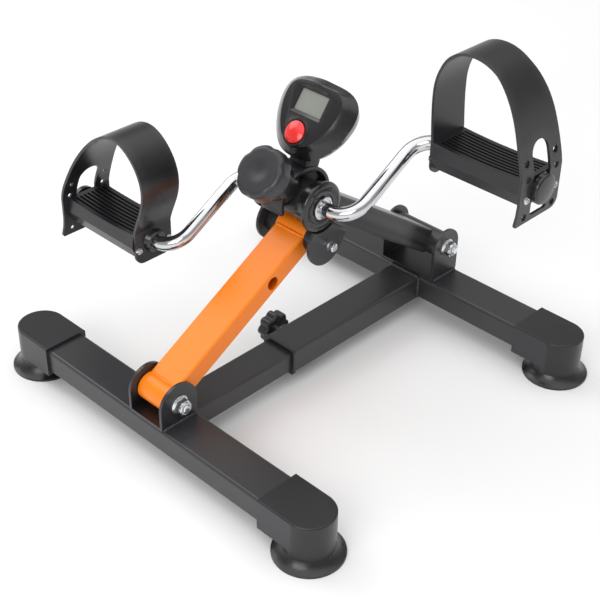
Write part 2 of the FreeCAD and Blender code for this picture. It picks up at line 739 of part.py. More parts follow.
def reset_button():
    """The domed button; its skirt keeps it behind the face."""
    radius = BUTTON_RADIUS
    skirt = radius + 1.2
    foot = -7.5
    ledge = -5.6
    edge = 1.6
    outline = Part.Wire([
        Part.makeLine(vec(0, 0, foot), vec(skirt, 0, foot)),
        Part.makeLine(vec(skirt, 0, foot), vec(skirt, 0, ledge)),
        Part.makeLine(vec(skirt, 0, ledge), vec(radius, 0, ledge)),
        Part.makeLine(vec(radius, 0, ledge), vec(radius, 0, edge)),
        Part.Arc(
            vec(radius, 0, edge),
            vec(radius / 2, 0, edge + dome_height(radius, BUTTON_DOME, radius / 2)),
            vec(0, 0, edge + BUTTON_DOME),
        ).toShape(),
        Part.makeLine(vec(0, 0, edge + BUTTON_DOME), vec(0, 0, foot)),
    ])
    button = Part.Face(outline).revolve(vec(0, 0, 0), Z_AXIS, 360)
    button.translate(vec(BUTTON_X, BUTTON_Y, 0))
    return placed(button, CONSOLE_FRAME)


# ---------------------------------------------------------------- knobs and pin on the hub

def tension_knob():
    knob = lobed_knob(KNOB_RADIUS, 6, 7.0, 1.1, KNOB_THICKNESS, 1.0)
    knob.translate(vec(0, 0, KNOB_START))
    return placed(knob.cut(post(SCREW_RADIUS, KNOB_START - 1, KNOB_START + SCREW_INSET)), KNOB_FRAME)


def tension_screw():
    return placed(post(SCREW_RADIUS, PAD_END, KNOB_START + SCREW_INSET), KNOB_FRAME)


PIN_TIP = 44.4


def lock_pin():
    """The quick-release pin: a grooved tip on the right and a drilled head on the left."""
    fork = FORK_GAP / 2 + FORK_PLATE
    profile = [
        (-fork - 6, 0), (-fork - 6, 6.2), (-fork - 5.2, 7), (-fork - 1.2, 7), (-fork - 0.4, 6.2),
        (-fork - 0.4, PIN_RADIUS), (PIN_TIP - 6.4, PIN_RADIUS), (PIN_TIP - 6.4, 2.6), (PIN_TIP - 4.6, 2.6),
        (PIN_TIP - 4.6, PIN_RADIUS), (PIN_TIP - 1, PIN_RADIUS), (PIN_TIP, PIN_RADIUS - 1), (PIN_TIP, 0),
    ]
    return turned_x(profile, PIN_Y, PIN_Z)


def pull_ring():
    """The split ring that hangs from the pin's head."""
    fork = FORK_GAP / 2 + FORK_PLATE
    radius = 10.0
    return Part.makeTorus(radius, 1.1, vec(-fork - 7.1, PIN_Y, PIN_Z - radius + 1.5), X_AXIS)


# ---------------------------------------------------------------- crank

BEND_RADIUS = 22.0
PEDAL_INNER = 92.0
STRAP_THICKNESS = 2.5
PEDAL_START = PEDAL_INNER + STRAP_THICKNESS
PEDAL_END = 188.0
SPINDLE_RADIUS = 4.6
SPINDLE_END = 184.0
CAP_BORE = 6.4


def half_crank():
    """The right half of the one-piece crank, with its throw along +y."""
    bend = BEND_RADIUS
    slant = bend * math.sin(math.radians(45))
    corner = vec(CRANK_OFFSET, 0, 0)
    first = [
        vec(CRANK_OFFSET - bend, 0, 0),
        vec(CRANK_OFFSET - bend + slant, bend - slant, 0),
        vec(CRANK_OFFSET, bend, 0),
    ]
    last = [
        vec(CRANK_OFFSET, CRANK_THROW - bend, 0),
        vec(CRANK_OFFSET + bend - slant, CRANK_THROW - bend + slant, 0),
        vec(CRANK_OFFSET + bend, CRANK_THROW, 0),
    ]
    path = Part.Wire([
        Part.makeLine(vec(0, 0, 0), first[0]),
        Part.Arc(*first).toShape(),
        Part.makeLine(first[2], last[0]),
        Part.Arc(*last).toShape(),
        Part.makeLine(last[2], vec(PEDAL_INNER - 3.5, CRANK_THROW, 0)),
    ])
    section = Part.Wire(Part.makeCircle(ROD_RADIUS, vec(0, 0, 0), X_AXIS))
    bar = path.makePipeShell([section], True, False)
    spindle = turned_x(
        [
            (PEDAL_INNER - 4, 0), (PEDAL_INNER - 4, 7.6), (PEDAL_INNER - 0.4, 7.6),
            (PEDAL_INNER - 0.4, SPINDLE_RADIUS), (SPINDLE_END - 0.8, SPINDLE_RADIUS),
            (SPINDLE_END, SPINDLE_RADIUS - 0.8), (SPINDLE_END, 0),
        ],
        CRANK_THROW,
    )
    return fused(bar, spindle)


def crank():
    right = half_crank()
    left = right.copy()
    left.rotate(vec(0, 0, 0), Z_AXIS, 180)
    return placed(fused(right, left), CRANK_FRAME)


def axle_cones():
    """The chromed cone nuts at the hub's ends."""
    profile = [
        (19.5, ROD_RADIUS), (19.5, BEARING_BORE - 0.05), (31.2, BEARING_BORE - 0.05), (31.2, 10.6),
        (34.0, 10.6), (34.6, 9.8), (34.6, 8.6), (33.8, 8.2), (33.8, ROD_RADIUS),
    ]
    return [
        placed(turned_x([(side * x, r) for x, r in profile]), CRANK_FRAME) for side in SIDES.values()
    ]


def friction_drum():
    return placed(pipe(DRUM_RADIUS, ROD_RADIUS, -11, 11), CRANK_FRAME)


# ---------------------------------------------------------------- pedals

RIB_COUNT = 9
RIB_PITCH = 4.3
RIB_GAP = 2.3
BODY_TOP = 12.2
BODY_BOTTOM = -12.4
BODY_WALL = 2.6
BODY_END_WALL = 3.0
TREAD_SAG = 2.0              # how far the tread dips in its middle
SCREW_Y = 19.0
SCREW_Z = -4.5
INNER_SCREW_Y = 17.0
SLOT_HALF = 11.0


def pedal_section(inset, drop=0.0):
    """The pedal body's six-sided section, drawn in by inset, with its top lowered by drop."""
    top = BODY_TOP - inset - drop
    bottom = BODY_BOTTOM + inset
    return [
        (-20.4 + inset, top), (20.4 - inset, top), (22.8 - inset, -1.0),
        (18.2 - inset, bottom), (-18.2 + inset, bottom), (-22.8 + inset, -1.0),
    ]


def pedal_body():
    """A hollow dished tread with long slots between its ribs, closed ends and a bored axle tube."""
    length = PEDAL_END - PEDAL_START
    body = prism([vec(PEDAL_START, y, z) for y, z in pedal_section(0)], vec(length, 0, 0))
    dish = ((length / 2)**2 + TREAD_SAG**2) / (2 * TREAD_SAG)
    dish_centre = vec((PEDAL_START + PEDAL_END) / 2, -40, BODY_TOP - TREAD_SAG + dish)
    body = body.cut(Part.makeCylinder(dish, 80, dish_centre, Y_AXIS))
    hollow = prism(
        [vec(PEDAL_START + BODY_END_WALL, y, z) for y, z in pedal_section(BODY_WALL, TREAD_SAG)],
        vec(length - 2 * BODY_END_WALL, 0, 0),
    )
    body = fused(body.cut(hollow), rod(7.4, PEDAL_START, PEDAL_END))
    top_slots = (BODY_TOP - BODY_WALL - TREAD_SAG - 0.6, BODY_TOP + 1)
    bottom_slots = (BODY_BOTTOM - 1, BODY_BOTTOM + BODY_WALL + 0.6)
    for i in range(RIB_COUNT - 1):
        y = (i - (RIB_COUNT - 2) / 2) * RIB_PITCH
        for z0, z1 in (top_slots, bottom_slots):
            body = body.cut(box(PEDAL_START + 5, PEDAL_END - 5, y - RIB_GAP / 2, y + RIB_GAP / 2, z0, z1))
    body = body.cut(rod(SPINDLE_RADIUS + 0.05, PEDAL_START - 1, PEDAL_END + 1))
    body = body.cut(rod(CAP_BORE, PEDAL_END - 9, PEDAL_END + 1))
    for y in (-1, 1):
        body = body.cut(rod(1.6, PEDAL_START - 1, PEDAL_START + 9, y * INNER_SCREW_Y, SCREW_Z))
        body = body.cut(rod(1.6, PEDAL_END - 9, PEDAL_END + 1, y * SCREW_Y, SCREW_Z))
    return body


# Each strap's outside, from the crank side over the foot to the outer side: (x, z) from the axle.
# The plastic is flexible, and the two stand a little differently.
STRAP_OUTER = {
    "right": [
        (92, 14), (90.6, 32), (90, 50), (91.2, 66), (95.6, 79), (102, 89.3), (109.8, 95.6), (118.5, 99),
        (128, 100), (138.5, 98.6), (149, 94.3), (158.7, 87), (167, 77.5), (173.3, 67.5), (178.3, 56.5),
        (182.4, 44.5), (186.2, 31.5), (189, 21), (190.5, 13.5),
    ],
    "left": [
        (92, 13.5), (88.6, 23), (84, 33.5), (79.8, 45), (77.8, 58), (79.6, 70), (84.8, 81), (93, 90.5),
        (103.2, 97.3), (114.5, 99.8), (126, 97.8), (138.5, 91.3), (151, 81.5), (163.5, 67), (174, 51),
        (182.5, 34.5), (188, 22), (190.5, 13.5),
    ],
}
STRAP_FACE = 190.5           # the outer leg's outside
STRAP_NARROW = 20.6          # half widths
STRAP_WIDE = 27.0
STRAP_FOOT = -26.5
STRAP_INNER_FOOT = -19.0
STRAP_CORNER = 9.0
SLOT_TOP = 41.0
SLOT_BOTTOM = -22.0
HOLE_RADIUS = 1.9
HOLE_RIM = 3.1
HOLE_RIM_DEPTH = 0.8
# The outer leg's flared front corner, (y, z) from the axle.
LEG_TOE = [
    (-26, -8), (-27, -9), (-27.9, -17), (-29.9, -23.8), (-29.9, -25.4), (-28.9, -26.5), (-17, -26.5),
    (-17, -18),
]


def strap_band(outside):
    """The strap's side outline, drawn inwards by its thickness, over its full width."""
    curve = Part.BSplineCurve()
    curve.interpolate([vec(x, 0, z) for x, z in outside])
    steps = 60
    inner = []
    for i in range(steps + 1):
        u = curve.FirstParameter + (curve.LastParameter - curve.FirstParameter) * i / steps
        across = curve.tangent(u)[0].cross(Y_AXIS)
        across.normalize()
        inner.append(curve.value(u) - across * STRAP_THICKNESS)
    inner_curve = Part.BSplineCurve()
    inner_curve.interpolate(inner)
    left = PEDAL_INNER
    right, shoulder = outside[-1]
    outline = Part.Wire([
        Part.makeLine(vec(left, 0, STRAP_INNER_FOOT), vec(left, 0, outside[0][1])),
        curve.toShape(),
        Part.makeLine(vec(right, 0, shoulder), vec(right, 0, STRAP_FOOT)),
        Part.makeLine(vec(right, 0, STRAP_FOOT), vec(PEDAL_END, 0, STRAP_FOOT)),
        Part.makeLine(vec(PEDAL_END, 0, STRAP_FOOT), inner[-1]),
        inner_curve.toShape(),
        Part.makeLine(inner[0], vec(PEDAL_START, 0, STRAP_INNER_FOOT)),
        Part.makeLine(vec(PEDAL_START, 0, STRAP_INNER_FOOT), vec(left, 0, STRAP_INNER_FOOT)),
    ])
    band = Part.Face(outline).extrude(vec(0, 2 * STRAP_WIDE + 6, 0))
    band.translate(vec(0, -STRAP_WIDE - 3, 0))
    return band


def strap_plan():
    """The strap seen from above: narrow at the crank, widening to the outer leg."""
    start = PEDAL_INNER - 20
    half_plan = [(start, STRAP_NARROW), (152, STRAP_NARROW), (186, STRAP_WIDE), (200, STRAP_WIDE)]
    low = [vec(x, -y, -60) for x, y in half_plan]
    high = [vec(x, y, -60) for x, y in reversed(half_plan)]
    plan = prism(low + high, vec(0, 0, 200))
    bends = [
        e for e in plan.Edges
        if abs(e.tangentAt(e.FirstParameter).z) > 0.99 and 150 < e.BoundBox.Center.x < 190
    ]
    return plan.makeFillet(30.0, bends)


def rounded_corner(strap, x0, x1, side, half, foot):
    """Rounds one lower corner of a leg."""
    corner = STRAP_CORNER
    ends = sorted((side * half, side * (half - corner)))
    cutter = box(x0, x1, *ends, foot - 1, foot + corner)
    return strap.cut(cutter.cut(rod(corner, x0, x1, side * (half - corner), foot + corner)))


def pedal_strap(outside):
    """One moulded strap: a narrow inner leg, the arch over the foot and a wide slotted outer leg."""
    strap = strap_band(outside).common(strap_plan())
    for side in SIDES.values():
        strap = rounded_corner(strap, 80, 110, side, STRAP_NARROW, STRAP_INNER_FOOT)
    strap = rounded_corner(strap, 175, 200, 1, STRAP_WIDE, STRAP_FOOT)
    toe = prism([vec(PEDAL_END, y, z) for y, z in LEG_TOE], vec(STRAP_FACE - PEDAL_END, 0, 0))
    strap = fused(strap, toe)
    arc = SLOT_TOP - SLOT_HALF
    slot = fused(
        box(150, 200, -SLOT_HALF, SLOT_HALF, SLOT_BOTTOM, arc),
        rod(SLOT_HALF, 150, 200, 0, arc),
    )
    lower = [e for e in slot.Edges if e.Length > 45 and e.BoundBox.ZMax < SLOT_BOTTOM + 1]
    strap = strap.cut(slot.makeFillet(3.0, lower))
    for y in (-SCREW_Y, SCREW_Y):
        for z, face in ((27, 187.1), (14, STRAP_FACE), (-20.5, STRAP_FACE)):
            strap = strap.cut(rod(HOLE_RADIUS, 160, 200, y, z))
            strap = strap.cut(rod(HOLE_RIM, face - HOLE_RIM_DEPTH, 200, y, z))
        strap = strap.cut(rod(1.8, 180, 200, y, SCREW_Z))
        strap = strap.cut(rod(1.8, 80, 100, math.copysign(INNER_SCREW_Y, y), SCREW_Z))
    return strap.cut(rod(8.2, 80, 110))


def pan_screw(x, y, z, side):
    """A cross-head screw whose head stands on a leg's outside; side is the way that it points out."""
    screw = turned_x(
        [(x - side * 8, 0), (x - side * 8, 1.5), (x, 1.5), (x, 3.6), (x + side * 1.2, 3.4),
         (x + side * 2.2, 2.2), (x + side * 2.2, 0)],
        y, z,
    )
    recess = x + side * 2.4
    for angle in (20, 110):
        arm = box(recess - 1, recess + 1, y - 2, y + 2, z - 0.45, z + 0.45)
        arm.rotate(vec(x, y, z), X_AXIS, angle)
        screw = screw.cut(arm)
    return screw


def strap_screws():
    screws = []
    for side in SIDES.values():
        screws.append(pan_screw(STRAP_FACE, side * SCREW_Y, SCREW_Z, 1))
        screws.append(pan_screw(PEDAL_INNER, side * INNER_SCREW_Y, SCREW_Z, -1))
    return screws


def axle_cap():
    """The domed cap over the spindle's end."""
    face = STRAP_FACE
    radius = 13.4
    edge = 2.6
    near = 0.3 * edge
    shoulder = radius - edge
    dome = 0.9
    rim = face + 6.0
    outline = Part.Wire([
        Part.makeLine(vec(face, 0, 0), vec(face, radius, 0)),
        Part.makeLine(vec(face, radius, 0), vec(rim - edge, radius, 0)),
        Part.Arc(
            vec(rim - edge, radius, 0), vec(rim - near, radius - near, 0), vec(rim, shoulder, 0)
        ).toShape(),
        Part.Arc(
            vec(rim, shoulder, 0),
            vec(rim + dome_height(shoulder, dome, shoulder / 2), shoulder / 2, 0),
            vec(rim + dome, 0, 0),
        ).toShape(),
        Part.makeLine(vec(rim + dome, 0, 0), vec(face, 0, 0)),
    ])
    cap = Part.Face(outline).revolve(vec(0, 0, 0), X_AXIS, 360)
    plug = rod(CAP_BORE - 0.1, PEDAL_END - 2.5, face + 1)
    return fused(cap, plug)


def pedal_place(shape, side):
    """Mirrors a right pedal's piece for the left side and puts it on its crank's spindle."""
    result = shape.mirror(vec(0, 0, 0), X_AXIS) if side < 0 else shape.copy()
    throw = vec(0, side * CRANK_THROW, 0)
    result.translate(CRANK_FRAME.multVec(throw))
    return result


# ---------------------------------------------------------------- the whole object

for end, way in ENDS.items():
    save(f"{end}_crossbar", crossbar(way * BAR_Y))
    save(f"{end}_bracket", pivot_bracket(end))
    save(f"{end}_pivot_bolt", pivot_bolt(end))
    save(f"{end}_pivot_washer", pivot_washer(end))
    save(f"{end}_pivot_nut", pivot_nut(end))
    for name, side in SIDES.items():
        save(f"{end}_cap_{name}", end_cap(side, way * BAR_Y))
        save(f"{end}_foot_{name}", suction_foot(side * FOOT_X, way * BAR_Y))

save("beam_sleeve", beam_sleeve())
save("sleeve_collar", sleeve_collar())
save("weld_boss", weld_boss())
save("inner_beam", inner_beam())
save("beam_plug", beam_plug())
save("base_lock_knob", base_lock_knob())
save("base_lock_stud", base_lock_stud())

save("arm_tube", arm_tube())
save("arm_lower_barrel", arm_barrel(0))
save("arm_upper_barrel", arm_barrel(ARM_LENGTH))
save("arm_lower_bushings", *arm_bushings(0, FRONT_EAR_GAP / 2 - 0.2, FLANGE_RADIUS, BOLT_RADIUS + 0.05))
save(
    "arm_upper_bushings",
    *arm_bushings(ARM_LENGTH, FORK_GAP / 2 - SIDE_PLAY, 12.9, PIN_RADIUS + PIN_PLAY),
)

save("strut_tube", strut_tube())
save("strut_barrel", strut_barrel())
save("strut_bushings", *strut_bushings())
save("fork_bracket", fork_bracket())
save("hub_shell", hub_shell())
save("hub_bearings", *hub_bearings())
for name, side in SIDES.items():
    save(f"hub_cap_{name}", hub_cap(side))
save("brake_housing", brake_housing())
save("brake_pad", brake_pad())
save("console_front", console_front())
save("console_back", console_back())
save("lcd_panel", lcd_panel())
save("circuit_board", circuit_board())
save("reset_button", reset_button())
save("tension_knob", tension_knob())
save("tension_screw", tension_screw())
save("lock_pin", lock_pin())
save("pull_ring", pull_ring())

save("crank", crank())
save("axle_cones", *axle_cones())
save("friction_drum", friction_drum())
for name, side in SIDES.items():
    save(f"pedal_body_{name}", pedal_place(pedal_body(), side))
    save(f"pedal_strap_{name}", pedal_place(pedal_strap(STRAP_OUTER[name]), side))
    save(f"strap_screws_{name}", *[pedal_place(screw, side) for screw in strap_screws()])
    save(f"axle_cap_{name}", pedal_place(axle_cap(), side))

print(f"hub at {HUB}, arm {ARM_ANGLE:.2f} deg, strut {STRUT_ANGLE:.2f} deg, pin y {PIN_Y:.2f} z {PIN_Z:.2f}")
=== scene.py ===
import json
import math

import bmesh
import bpy
from mathutils import Matrix, Vector


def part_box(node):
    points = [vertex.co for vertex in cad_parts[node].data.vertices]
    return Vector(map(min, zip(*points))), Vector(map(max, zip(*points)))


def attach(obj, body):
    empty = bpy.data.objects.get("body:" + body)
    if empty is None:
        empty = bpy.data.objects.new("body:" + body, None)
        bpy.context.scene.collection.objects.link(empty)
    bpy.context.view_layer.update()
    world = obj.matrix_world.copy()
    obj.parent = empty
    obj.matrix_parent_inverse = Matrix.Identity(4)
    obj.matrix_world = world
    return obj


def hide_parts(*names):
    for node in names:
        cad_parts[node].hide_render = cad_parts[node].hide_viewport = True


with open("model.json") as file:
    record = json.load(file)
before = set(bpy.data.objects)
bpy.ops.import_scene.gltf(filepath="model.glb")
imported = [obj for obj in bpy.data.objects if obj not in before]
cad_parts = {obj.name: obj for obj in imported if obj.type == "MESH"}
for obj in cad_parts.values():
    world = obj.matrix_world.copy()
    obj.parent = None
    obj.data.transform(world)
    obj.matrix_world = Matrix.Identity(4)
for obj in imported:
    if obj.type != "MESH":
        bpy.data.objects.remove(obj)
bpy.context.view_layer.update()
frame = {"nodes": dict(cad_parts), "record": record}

NODES = frame["nodes"]
RECORD = frame["record"]
BODY_OF = {n: body for body, names in RECORD["behaviour"]["bodies"].items() for n in names}
SLOT_OF = {part["node"]: part["material_slot"] for part in RECORD["subparts"]}
JOINTS = {joint["name"]: joint for joint in RECORD["behaviour"]["joints"]}
SIDES = {"left": -1, "right": 1}


# ---------------------------------------------------------------- places, read from the frame

def low(node):
    return Vector(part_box(node)[0])


def high(node):
    return Vector(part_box(node)[1])


def centre(node):
    return (low(node) + high(node)) / 2


HUB = Vector(JOINTS["crank_spin"]["pos_m"])
FRONT_PIVOT = Vector(JOINTS["arm_pivot"]["pos_m"])
PIN = Vector((0, centre("lock_pin").y, centre("lock_pin").z))
AXLES = {side: Vector(JOINTS[f"pedal_{side}_spin"]["pos_m"]) for side in SIDES}
BAR_TOP = high("front_crossbar").z
ARM_ANGLE = math.atan2(PIN.z - FRONT_PIVOT.z, PIN.y - FRONT_PIVOT.y)


# ---------------------------------------------------------------- materials

class Nodes:
    """A material's node tree, with its shader and short calls for the nodes in use here."""

    def __init__(self, name):
        self.material = bpy.data.materials.new(name)
        self.material.use_nodes = True
        self.tree = self.material.node_tree
        self.shader = self.tree.nodes["Principled BSDF"]
        self.place = self.tree.nodes.new("ShaderNodeTexCoord").outputs["Object"]

    def link(self, source, target):
        self.tree.links.new(source, target)

    def stretched(self, stretch):
        mapping = self.tree.nodes.new("ShaderNodeMapping")
        mapping.inputs["Scale"].default_value = stretch
        self.link(self.place, mapping.inputs["Vector"])
        return mapping.outputs["Vector"]

    def noise(self, scale, detail=3.0, roughness=0.55, stretch=None):
        node = self.tree.nodes.new("ShaderNodeTexNoise")
        node.inputs["Scale"].default_value = scale
        node.inputs["Detail"].default_value = detail
        node.inputs["Roughness"].default_value = roughness
        self.link(self.stretched(stretch) if stretch else self.place, node.inputs["Vector"])
        return node.outputs["Fac"]

    def cells(self, scale):
        node = self.tree.nodes.new("ShaderNodeTexVoronoi")
        node.inputs["Scale"].default_value = scale
        self.link(self.place, node.inputs["Vector"])
        return node.outputs["Distance"]

    def span(self, value, from_low, from_high, to_low, to_high):
        node = self.tree.nodes.new("ShaderNodeMapRange")
        node.inputs["From Min"].default_value = from_low
        node.inputs["From Max"].default_value = from_high
        node.inputs["To Min"].default_value = to_low
        node.inputs["To Max"].default_value = to_high
        self.link(value, node.inputs["Value"])
        return node.outputs["Result"]

    def mix(self, factor, first, second):
        node = self.tree.nodes.new("ShaderNodeMix")
        node.data_type = "RGBA"
        self.link(factor, node.inputs["Factor"])
        for socket, colour in (("A", first), ("B", second)):
            target = [i for i in node.inputs if i.name == socket and i.type == "RGBA"][0]
            if isinstance(colour, tuple):
                target.default_value = (*colour, 1)
            else:
                self.link(colour, target)
        return [o for o in node.outputs if o.type == "RGBA"][0]

    def bump(self, height, distance, under=None):
        node = self.tree.nodes.new("ShaderNodeBump")
        node.inputs["Distance"].default_value = distance
        node.inputs["Strength"].default_value = 1.0
        self.link(height, node.inputs["Height"])
        if under is not None:
            self.link(under, node.inputs["Normal"])
        return node.outputs["Normal"]

    def edges(self, low_end=0.51, high_end=0.56):
        geometry = self.tree.nodes.new("ShaderNodeNewGeometry")
        return self.span(geometry.outputs["Pointiness"], low_end, high_end, 0.0, 1.0)

    def finish(self, colour, roughness, normal, **fixed):
        self.link(colour, self.shader.inputs["Base Color"])
        self.link(roughness, self.shader.inputs["Roughness"])
        if normal is not None:
            self.link(normal, self.shader.inputs["Normal"])
        for name, value in fixed.items():
            self.shader.inputs[name.replace("_", " ")].default_value = value
        return self.material


def powder_coat():
    """Satin black powder coat: fine orange peel, faint cloudiness, and edges painted lighter, partly as edge
    wear and partly as a painted highlight.
    """
    n = Nodes("powder_coat")
    clouds = n.span(n.noise(22), 0.3, 0.7, 0.0, 1.0)
    colour = n.mix(clouds, (0.007, 0.007, 0.0085), (0.011, 0.011, 0.013))
    # edges painted lighter: partly edge wear, partly a painted highlight along the edges
    colour = n.mix(n.edges(), colour, (0.04, 0.04, 0.043))
    rough = n.span(n.noise(160, 2), 0.3, 0.7, 0.30, 0.35)
    peel = n.bump(n.noise(1300, 2), 0.000008)
    dust = n.bump(n.noise(4200, 2), 0.000002, peel)
    return n.finish(colour, rough, dust, Specular_IOR_Level=0.55)


def amber_paint():
    """Glossy amber paint with a soft orange peel."""
    n = Nodes("amber_paint")
    clouds = n.span(n.noise(30), 0.3, 0.7, 0.0, 1.0)
    colour = n.mix(clouds, (0.985, 0.232, 0.007), (1.0, 0.240, 0.009))
    rough = n.span(n.noise(220, 3), 0.3, 0.7, 0.28, 0.33)
    peel = n.bump(n.noise(900, 2), 0.000010)
    return n.finish(colour, rough, peel, Specular_IOR_Level=0.35, Coat_Weight=0.1, Coat_Roughness=0.12)


def moulded_plastic(name, dark, light, rough_low, rough_high, grain, height, **fixed):
    """Injection-moulded plastic: spark-eroded grain, flow shading and faint rub marks."""
    # Moulded plastic: faint flow tones, edges painted lighter partly as wear and partly as a painted
    # highlight, uneven sheen and a fine grain.
    """Moulded plastic: faint flow tones, slightly worn edges, uneven sheen and a fine grain."""
    n = Nodes(name)
    flow = n.span(n.noise(28, 2, 0.5, (1, 1, 1.6)), 0.25, 0.75, 0.0, 1.0)
    colour = n.mix(flow, dark, light)
    # edges painted lighter: partly wear, partly a painted highlight along the edges
    colour = n.mix(n.edges(0.515, 0.57), colour, tuple(1.9 * c for c in light))
    rubs = n.noise(420, 3, 0.5, (1, 0.5, 0.7))
    rough = n.span(rubs, 0.3, 0.75, rough_high, rough_low)
    texture = n.bump(n.cells(grain), height)
    return n.finish(colour, rough, texture, **fixed)


def chrome():
    """Polished chrome with hairline wipe marks."""
    n = Nodes("chrome")
    tone = n.span(n.noise(60, 3), 0.3, 0.7, 0.0, 1.0)
    colour = n.mix(tone, (0.60, 0.60, 0.62), (0.68, 0.68, 0.69))
    wipes = n.noise(500, 4, 0.65, (0.08, 1, 1))
    rough = n.span(wipes, 0.35, 0.75, 0.035, 0.11)
    scratch = n.bump(n.noise(2600, 2, 0.5, (0.03, 1, 1)), 0.0000012)
    return n.finish(colour, rough, scratch, Metallic=1.0)


def zinc():
    """Bright zinc plate: spangled tone, with rougher tool marks."""
    n = Nodes("zinc")
    spangle = n.span(n.cells(500), 0.1, 0.6, 0.0, 1.0)
    colour = n.mix(spangle, (0.70, 0.71, 0.73), (0.80, 0.81, 0.82))
    rough = n.span(n.noise(600, 3), 0.3, 0.7, 0.17, 0.26)
    marks = n.bump(n.noise(2400, 2, 0.5, (0.2, 1, 1)), 0.000002)
    return n.finish(colour, rough, marks, Metallic=1.0)


def turned_steel(name, tone):
    """Steel with fine turning marks."""
    n = Nodes(name)
    grain = n.noise(3000, 2, 0.5, (3, 0.3, 0.3))
    colour = n.mix(n.span(grain, 0.3, 0.7, 0.0, 1.0), tuple(0.8 * t for t in tone), tone)
    rough = n.span(grain, 0.3, 0.7, 0.25, 0.45)
    return n.finish(colour, rough, n.bump(grain, 0.00001), Metallic=1.0)


def rubber():
    """Soft black rubber, with a bloom of dust and a smooth moulded face."""
    n = Nodes("rubber")
    bloom = n.span(n.noise(55, 5, 0.6), 0.4, 0.75, 0.0, 1.0)
    colour = n.mix(bloom, (0.009, 0.009, 0.010), (0.015, 0.015, 0.016))
    rough = n.span(n.noise(130, 4), 0.3, 0.7, 0.22, 0.34)
    return n.finish(colour, rough, n.bump(n.noise(1500, 2), 0.000012), Specular_IOR_Level=0.6)


def red_gloss():
    """Glossy red plastic under a thin clear coat."""
    n = Nodes("red_gloss")
    flow = n.span(n.noise(90, 3), 0.3, 0.7, 0.0, 1.0)
    colour = n.mix(flow, (0.80, 0.016, 0.014), (0.84, 0.022, 0.018))
    rough = n.span(n.noise(400, 3), 0.3, 0.7, 0.16, 0.26)
    return n.finish(colour, rough, n.bump(n.noise(1500, 2), 0.000008), Coat_Weight=0.4, Coat_Roughness=0.06)


def display():
    """A blank liquid crystal display: grey-green, with its faint printed backing behind a clear face."""
    n = Nodes("display")
    backing = n.span(n.cells(2200), 0.1, 0.7, 0.0, 1.0)
    colour = n.mix(backing, (0.235, 0.245, 0.220), (0.255, 0.265, 0.240))
    shade = n.span(n.noise(45, 2), 0.3, 0.7, 0.0, 0.35)
    colour = n.mix(shade, colour, (0.215, 0.225, 0.200))
    rough = n.span(n.noise(700, 3), 0.3, 0.7, 0.20, 0.28)
    return n.finish(colour, rough, n.bump(n.cells(2200), 0.000004), Coat_Weight=0.3, Coat_Roughness=0.05)


def circuit_green():
    """A green printed board with a pattern of lighter patches."""
    n = Nodes("circuit_green")
    traces = n.span(n.cells(500), 0.05, 0.12, 1.0, 0.0)
    colour = n.mix(traces, (0.02, 0.10, 0.04), (0.06, 0.22, 0.09))
    rough = n.span(n.noise(500, 3), 0.3, 0.7, 0.3, 0.45)
    return n.finish(colour, rough, n.bump(traces, 0.00003))


def brake_fibre():
    """Pressed brown friction fibre."""
    n = Nodes("brake_fibre")
    fibres = n.noise(1500, 5, 0.7, (1, 0.25, 1))
    colour = n.mix(n.span(fibres, 0.3, 0.7, 0.0, 1.0), (0.10, 0.065, 0.04), (0.24, 0.17, 0.11))
    rough = n.span(fibres, 0.3, 0.7, 0.7, 0.9)
    return n.finish(colour, rough, n.bump(fibres, 0.0002))


def nylon():
    """Pale blue-grey nylon."""
    n = Nodes("nylon")
    tone = n.span(n.noise(700, 3), 0.3, 0.7, 0.0, 1.0)
    colour = n.mix(tone, (0.42, 0.45, 0.50), (0.55, 0.57, 0.60))
    rough = n.span(n.noise(1500, 2), 0.3, 0.7, 0.3, 0.45)
    return n.finish(colour, rough, n.bump(n.noise(2500, 2), 0.00001))


MATERIALS = {
    "black_powder_coat": powder_coat(),
    "amber_paint": amber_paint(),
    "black_plastic": moulded_plastic(
        "black_plastic", (0.008, 0.008, 0.0095), (0.012, 0.012, 0.014), 0.30, 0.35, 2600, 0.000002,
        Specular_IOR_Level=0.55,
    ),
    "gloss_black_plastic": moulded_plastic(
        "gloss_black_plastic", (0.008, 0.008, 0.009), (0.013, 0.013, 0.014), 0.14, 0.26, 1500, 0.000004,
        Coat_Weight=0.3, Coat_Roughness=0.08,
    ),
    "knob_plastic": moulded_plastic(
        "knob_plastic", (0.018, 0.018, 0.022), (0.024, 0.024, 0.029), 0.30, 0.38, 2200, 0.000008,
        Specular_IOR_Level=0.6,
    ),
    "black_rubber": rubber(),
    "chrome_plate": chrome(),
    "zinc_plate": zinc(),
    "drum_steel": turned_steel("drum_steel", (0.45, 0.45, 0.46)),
    "pad_fibre": brake_fibre(),
    "red_plastic": red_gloss(),
    "display": display(),
    "board": circuit_green(),
}
STRAP_PLASTIC = moulded_plastic(
    "strap_plastic", (0.009, 0.009, 0.0105), (0.012, 0.012, 0.0135), 0.30, 0.34, 2300, 0.0000015,
    Specular_IOR_Level=0.6,
)
CONSOLE_PLASTIC = moulded_plastic(
    "console_plastic", (0.007, 0.007, 0.008), (0.010, 0.010, 0.0115), 0.20, 0.26, 2300, 0.000005,
    Coat_Weight=0.25, Coat_Roughness=0.12,
)
NYLON = nylon()


def finish_for(node):
    if node.startswith("pedal_strap"):
        return STRAP_PLASTIC
    if node.startswith("console"):
        return CONSOLE_PLASTIC
    return MATERIALS[SLOT_OF[node]]


def dress(obj, material):
    obj.data.materials.clear()
    obj.data.materials.append(material)


# ---------------------------------------------------------------- mesh helpers

SAME_POINT = 0.000002
SAME_PLANE = math.radians(0.4)
BEAD_STEP = 0.0004
BEAD_PITCH = 0.0019
BEAD_SIDES = 14


